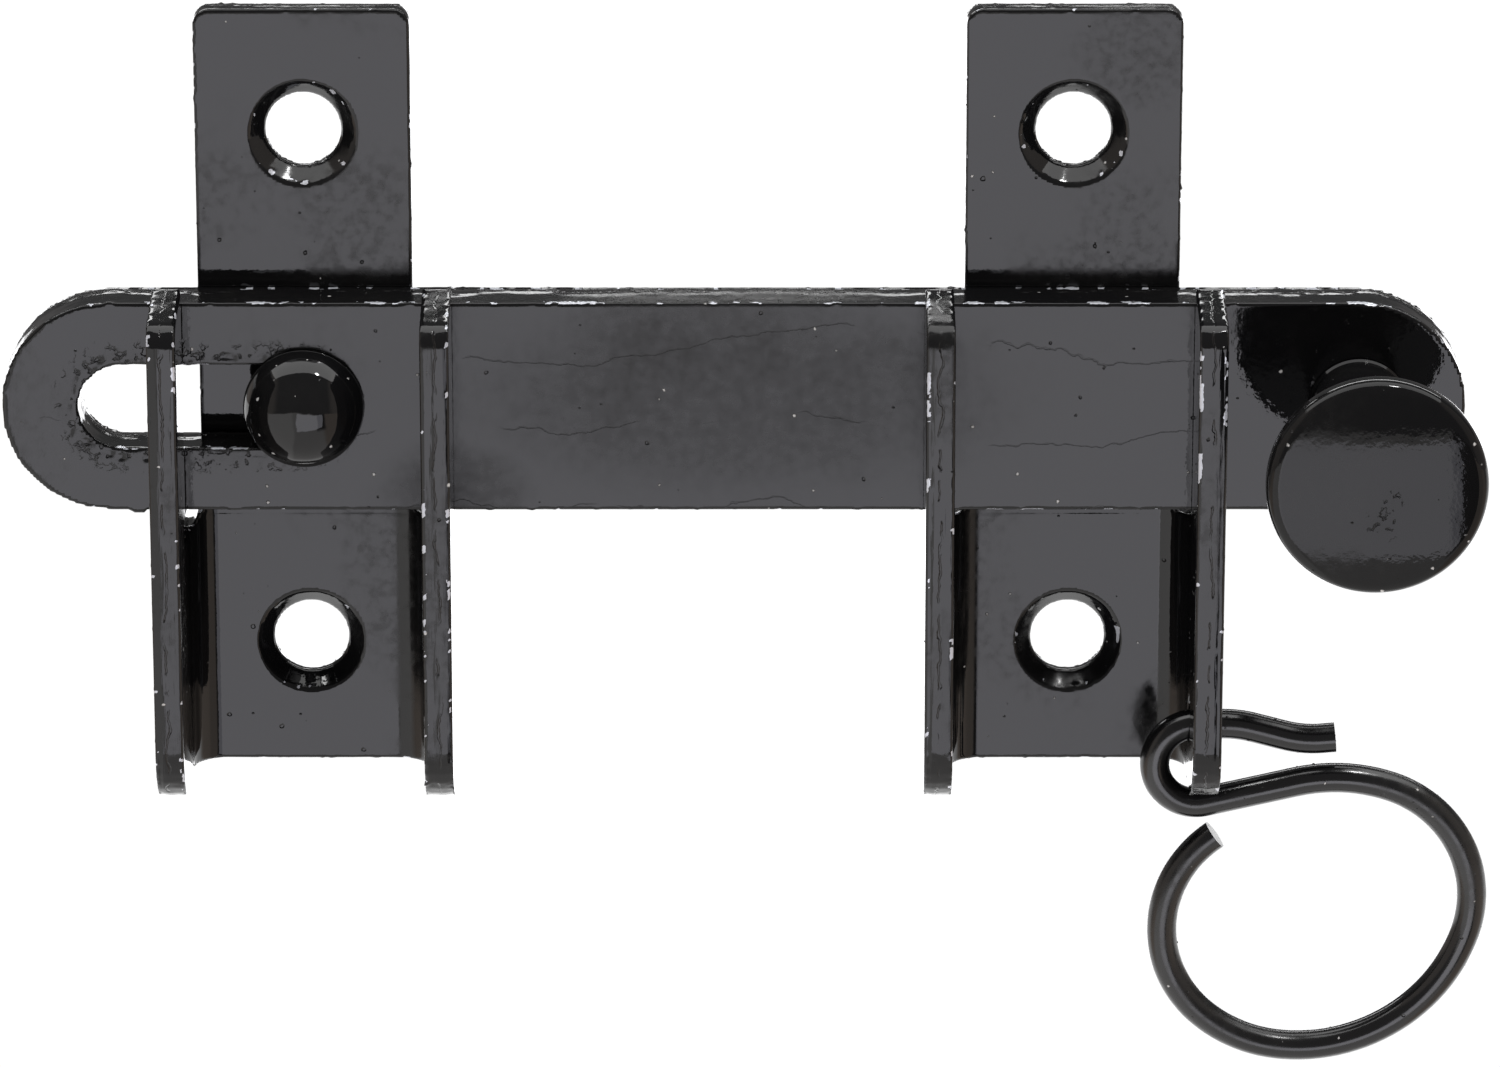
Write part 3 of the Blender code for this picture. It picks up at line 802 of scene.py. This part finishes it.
roughness = reckon(paint.node_tree, "MULTIPLY_ADD", source.outputs["Fac"], grease, roughness)
finish_enamel(paint, roughness, height)
blade.data.materials.append(paint)
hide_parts("bolt_bar")
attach(blade, "bolt")


# ---------------------------------------------------------------- knob
# A turned knob: a slightly crowned disc on a short stem, riveted over in the back of the bar.

KNOB_STANDOFF = 0.0256          # from the bar's front to the disc's back
KNOB_CROWN = 0.0009
KNOB_SEAT = 0.0096              # where the stem ends and the tail starts
CROWNED = 0.90                  # share of the disc's radius that is crowned

low_corner, high_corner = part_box("knob")
knob_centre = (low_corner + high_corner) / 2
knob_front, knob_end = -low_corner.y, -high_corner.y
disc = (high_corner.x - low_corner.x) / 2
disc_back = -BAR_FRONT + KNOB_STANDOFF
profile = []
for i in range(21):
    profile.append((disc * i / 20 * CROWNED, knob_front - KNOB_CROWN * (i / 20 * CROWNED) ** 2, 0))
profile += [
    (disc, knob_front - 0.0010, 0.0011), (disc, disc_back, 0.0008), (0.0057, disc_back, 0),
    (0.0050, disc_back - 0.0007, 0.0003), (0.0050, KNOB_SEAT + 0.0003, 0.0001), (0.0053, KNOB_SEAT, 0.0001),
    (0.0035, KNOB_SEAT, 0.0002), (0.0035, knob_end + TAIL_FLARE, 0.0002), (TAIL_RADIUS, knob_end, 0.0002),
    (0, knob_end, 0),
]
grip = lathed("knob_turned", eased(profile), knob_centre, 160)
places, normals = read(grip.data)
lift = 0.000004 * ripple(places, 0.007, 51)
face = places[:, [0, 2]] - (knob_centre.x, knob_centre.z)
scuff = ease(np.linalg.norm(face - (0.0004, -0.0034), axis=1), 0.0024, 0.0006)
scuff += 0.7 * ease(np.linalg.norm(face - (0.0014, -0.0008), axis=1), 0.0016, 0.0006)
write(grip.data, places + normals * lift[:, None], rubbed=scuff * ease(-normals[:, 1], 0.8, 0.95))
paint, place, roughness, height = enamel("knob_enamel", 5, 0.95, 0.35, 1.00, 0.25)
roughness, height = add_rub_marks(paint, place, roughness, height, 0.0)
finish_enamel(paint, roughness, height)
paint.node_tree.nodes["Principled BSDF"].inputs["Specular IOR Level"].default_value = 0.33
grip.data.materials.append(paint)
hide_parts("knob")
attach(grip, "bolt")


# ---------------------------------------------------------------- pull ring
# Drawn wire, bent cold: a short tail and a small loop through the right ear's hole, and a
# large ring, left open. It swings on the loop.

# The wire is 0.05 mm thinner than the solid's, so that it clears the bracket at the low end of
# its swing.
WIRE = 0.00315
WAVINESS = 0.00003
LOOP_TOP = (0.0134, -0.0345)
RING_Y = -0.0104
TAIL_BENDS = ((0.0028, 0.0120, -15), (0.0033, 0.0120, 20), (0.0013, 0, 0))
RING_BENDS = (
    (0.0000, 0.0044, 193),      # the small loop round the ear's lower edge
    (0.0098, 0.0182, -32),      # over the top of the large ring, which is a little oval
    (0.0000, 0.0131, -88),
    (0.0000, 0.0184, -78),
    (0.0000, 0.0151, -36),
    (0.0000, 0.0128, -104),     # up to the open end
)


def bent_wire(start, heading, bends):
    """Points along a wire from (straight run, bend radius, turn in degrees) entries."""
    (x, z), angle = start, math.radians(heading)
    points = [(x, z)]
    for straight, radius, turn in bends:
        runs = math.ceil(straight / 0.0006)
        for _ in range(runs):
            x += straight / runs * math.cos(angle)
            z += straight / runs * math.sin(angle)
            points.append((x, z))
        steps = max(1, round(abs(turn) / 3))
        step = math.radians(turn) / steps
        for _ in range(steps if turn else 0):
            chord = 2 * radius * math.sin(abs(step) / 2)
            x += chord * math.cos(angle + step / 2)
            z += chord * math.sin(angle + step / 2)
            angle += step
            points.append((x, z))
    return points


def shape_tree(name, wanted):
    """A Geometry Nodes tree with named inputs, its sockets' identifiers and its two end nodes."""
    made = bpy.data.node_groups.new(name, "GeometryNodeTree")
    sockets = {}
    for label, kind, value in wanted:
        socket = made.interface.new_socket(label, in_out="INPUT", socket_type=kind)
        sockets[label] = socket.identifier
        if value is not None:
            socket.default_value = value
    made.interface.new_socket("Geometry", in_out="OUTPUT", socket_type="NodeSocketGeometry")
    start, end = made.nodes.new("NodeGroupInput"), made.nodes.new("NodeGroupOutput")
    return made, sockets, start, end


def drawn_wire_tree():
    """Geometry nodes: a round wire with eased ends along a line of edges."""
    wanted = (
        ("Geometry", "NodeSocketGeometry", None), ("Diameter", "NodeSocketFloat", 0.003),
        ("Waviness", "NodeSocketFloat", WAVINESS), ("Enamel", "NodeSocketMaterial", None),
    )
    made, sockets, start, end = shape_tree("drawn_wire", wanted)
    line = joined(made, "GeometryNodeMeshToCurve", Mesh=start.outputs["Geometry"])
    along = made.nodes.new("GeometryNodeSplineParameter")
    whole = made.nodes.new("GeometryNodeSplineLength")
    left = reckon(made, "SUBTRACT", whole.outputs["Length"], along.outputs["Length"])
    to_end = reckon(made, "MINIMUM", left, along.outputs["Length"])
    swell = joined(
        made, "ShaderNodeMapRange", Value=to_end, From_Min=0.0, From_Max=0.0004, To_Min=0.80, To_Max=1.0
    )
    swell.interpolation_type = "SMOOTHERSTEP"
    sized = joined(made, "GeometryNodeSetCurveRadius", Curve=line.outputs[0], Radius=swell.outputs[0])
    round_bar = joined(made, "GeometryNodeCurvePrimitiveCircle", Resolution=32)
    made.links.new(reckon(made, "MULTIPLY", start.outputs["Diameter"], 0.5), round_bar.inputs["Radius"])
    wire = made.nodes.new("GeometryNodeCurveToMesh")
    made.links.new(sized.outputs[0], wire.inputs["Curve"])
    made.links.new(round_bar.outputs[0], wire.inputs["Profile Curve"])
    wire.inputs["Fill Caps"].default_value = True
    uneven = joined(made, "ShaderNodeTexNoise", Scale=1 / 0.003, Detail=2.0)
    shift = reckon(made, "SUBTRACT", uneven.outputs[0], 0.5)
    shift = reckon(made, "MULTIPLY", shift, start.outputs["Waviness"])
    outward = made.nodes.new("ShaderNodeVectorMath")
    outward.operation = "SCALE"
    made.links.new(made.nodes.new("GeometryNodeInputNormal").outputs[0], outward.inputs[0])
    made.links.new(shift, outward.inputs["Scale"])
    rough = joined(made, "GeometryNodeSetPosition", Geometry=wire.outputs[0], Offset=outward.outputs[0])
    smooth = joined(made, "GeometryNodeSetShadeSmooth", Geometry=rough.outputs[0])
    plain = joined(made, "GeometryNodeRealizeInstances", Geometry=smooth.outputs[0])
    coated = start.outputs["Enamel"]
    painted = joined(made, "GeometryNodeSetMaterial", Geometry=plain.outputs[0], Material=coated)
    made.links.new(painted.outputs[0], end.inputs["Geometry"])
    return made, sockets


def grown(name, source, tree, values):
    """The plain mesh that a Geometry Nodes tree makes from an object, as a new object."""
    modifier = source.modifiers.new("grow", "NODES")
    modifier.node_group = tree[0]
    for label, value in values.items():
        modifier[tree[1][label]] = value
    bpy.context.view_layer.update()
    final = source.evaluated_get(bpy.context.evaluated_depsgraph_get())
    mesh = bpy.data.meshes.new_from_object(final)
    source.modifiers.remove(modifier)
    mesh.name = name
    piece = bpy.data.objects.new(name, mesh)
    scene.collection.objects.link(piece)
    return piece


tail = bent_wire(LOOP_TOP, 0, TAIL_BENDS)
loop = bent_wire(LOOP_TOP, 180, RING_BENDS)
route = [Vector((x, RING_Y, z)) for x, z in list(reversed(tail)) + loop[1:]]
for first, second, at in ((route[0], route[1], 1), (route[-1], route[-2], -1)):
    gap = (second - first).length
    extra = [first.lerp(second, share * 0.0006 / gap * 0.6) for share in (0.35, 0.7, 1.0)]
    if at == 1:
        route[1:1] = extra
    else:
        route[-1:-1] = list(reversed(extra))
line_mesh = bpy.data.meshes.new("ring_line")
line_mesh.from_pydata(route, [(i, i + 1) for i in range(len(route) - 1)], [])
line = bpy.data.objects.new("ring_line", line_mesh)
scene.collection.objects.link(line)
paint, place, roughness, height = enamel("ring_enamel", 6, 0.9, 0.25, 0.80, 0.6)
roughness = reckon(paint.node_tree, "ADD", roughness, 0.12)
finish_enamel(paint, roughness, height)
paint.node_tree.nodes["Principled BSDF"].inputs["Specular IOR Level"].default_value = 0.75
values = {"Diameter": WIRE, "Waviness": WAVINESS, "Enamel": paint}
ring = grown("pull_ring_wire", line, drawn_wire_tree(), values)
bpy.data.objects.remove(line)
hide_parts("ring")
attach(ring, "ring")


# ---------------------------------------------------------------- nibs in the enamel
# Dust and drops that dried in the coat: small hard lumps, scattered evenly over each piece.

def nib_tree():
    """Geometry nodes: small low domes scattered over a surface with a fixed seed."""
    wanted = (
        ("Geometry", "NodeSocketGeometry", None), ("Per square metre", "NodeSocketFloat", 9000.0),
        ("Smallest", "NodeSocketFloat", 0.00005), ("Largest", "NodeSocketFloat", 0.00018),
        ("Seed", "NodeSocketInt", 1), ("Enamel", "NodeSocketMaterial", None),
    )
    made, sockets, start, end = shape_tree("enamel_nibs", wanted)
    points = joined(made, "GeometryNodeDistributePointsOnFaces", Mesh=start.outputs["Geometry"])
    made.links.new(start.outputs["Per square metre"], points.inputs["Density"])
    made.links.new(start.outputs["Seed"], points.inputs["Seed"])
    lump = joined(made, "GeometryNodeMeshUVSphere", Segments=8, Rings=5, Radius=1.0)
    size = made.nodes.new("FunctionNodeRandomValue")
    size.data_type = "FLOAT"
    made.links.new(start.outputs["Smallest"], size.inputs[2])
    made.links.new(start.outputs["Largest"], size.inputs[3])
    made.links.new(start.outputs["Seed"], size.inputs["Seed"])
    flat = joined(made, "ShaderNodeCombineXYZ")
    made.links.new(size.outputs[1], flat.inputs[0])
    made.links.new(reckon(made, "MULTIPLY", size.outputs[1], 0.8), flat.inputs[1])
    made.links.new(reckon(made, "MULTIPLY", size.outputs[1], 0.55), flat.inputs[2])
    placed = made.nodes.new("GeometryNodeInstanceOnPoints")
    made.links.new(points.outputs["Points"], placed.inputs["Points"])
    made.links.new(lump.outputs[0], placed.inputs["Instance"])
    made.links.new(points.outputs["Rotation"], placed.inputs["Rotation"])
    made.links.new(flat.outputs[0], placed.inputs["Scale"])
    plain = joined(made, "GeometryNodeRealizeInstances", Geometry=placed.outputs[0])
    smooth = joined(made, "GeometryNodeSetShadeSmooth", Geometry=plain.outputs[0])
    coated = start.outputs["Enamel"]
    painted = joined(made, "GeometryNodeSetMaterial", Geometry=smooth.outputs[0], Material=coated)
    made.links.new(painted.outputs[0], end.inputs["Geometry"])
    return made, sockets


NIBS = nib_tree()
scattered = (
    ("left_bracket_stamping", "brackets", "left_bracket_enamel", 9000.0, 1),
    ("right_bracket_stamping", "brackets", "right_bracket_enamel", 9000.0, 2),
    ("bolt_bar_blade", "bolt", "bolt_bar_enamel", 8000.0, 3),
    ("knob_turned", "bolt", "knob_enamel", 16000.0, 4),
    ("pull_ring_wire", "ring", "ring_enamel", 24000.0, 5),
)
for host, body, slot, density, seed in scattered:
    base = bpy.data.objects[host]
    source = bpy.data.objects.new("nib_source", base.data)
    scene.collection.objects.link(source)
    values = {"Per square metre": density, "Seed": seed, "Enamel": base.data.materials[0]}
    nibs = grown(host.split("_")[0] + "_" + body + "_nibs", source, NIBS, values)
    bpy.data.objects.remove(source)
    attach(nibs, body)


# ---------------------------------------------------------------- the whole latch
# Colours are shown plainly, through the Standard view transform.

scene.view_settings.view_transform = "Standard"
